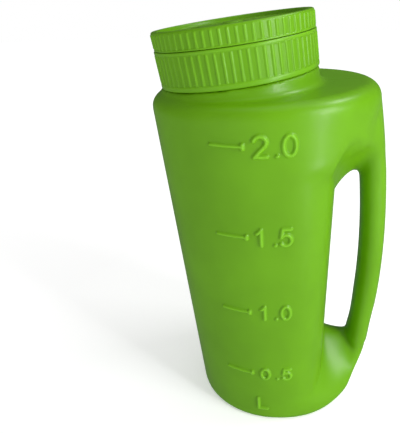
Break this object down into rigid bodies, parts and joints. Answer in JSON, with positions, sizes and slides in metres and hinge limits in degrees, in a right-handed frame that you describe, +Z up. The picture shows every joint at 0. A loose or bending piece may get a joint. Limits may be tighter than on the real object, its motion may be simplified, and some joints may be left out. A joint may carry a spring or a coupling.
{
  "type": "hand shaker bottle",
  "caption": "Hand-held shaker bottle with a through handle, a leaning threaded neck, a ribbed screw collar and a rotating dispensing dial on top.",
  "frame": {"origin": "centre of the flat base, on the surface that the bottle stands on", "axes": "+Z up, +X towards the handle, the embossed scale faces -Y"},
  "size_m": [0.1447, 0.1182, 0.2645],
  "materials": {
    "bottle": "satin-gloss blow-moulded polyethylene, lime green",
    "lid": "satin-gloss injection-moulded polypropylene, lime green",
    "gasket": "matte soft foam liner"
  },
  "bodies": {
    "bottle": {"bottle_body": "bottle"},
    "gasket": {"neck_gasket": "gasket"},
    "collar": {"screw_collar": "lid", "pivot_pin": "lid"},
    "dial": {"dispensing_dial": "lid"}
  },
  "joints": [
    {"name": "lid_lift", "type": "slide", "parent": "bottle", "child": "gasket", "axis": [-0.1045, 0, 0.9945], "range_m": [0, 0.0076]},
    {"name": "collar_turn", "type": "hinge", "parent": "gasket", "child": "collar", "pos_m": [-0.0177, 0, 0.2315], "axis": [-0.1045, 0, 0.9945], "range_deg": [0, 540]},
    {"name": "dial_turn", "type": "hinge", "parent": "collar", "child": "dial", "pos_m": [-0.0177, 0, 0.2315], "axis": [-0.1045, 0, 0.9945], "continuous": true}
  ],
  "couplings": [
    {"joint": "lid_lift", "follows": "collar_turn", "m_per_rad": 0.00079577}
  ]
}
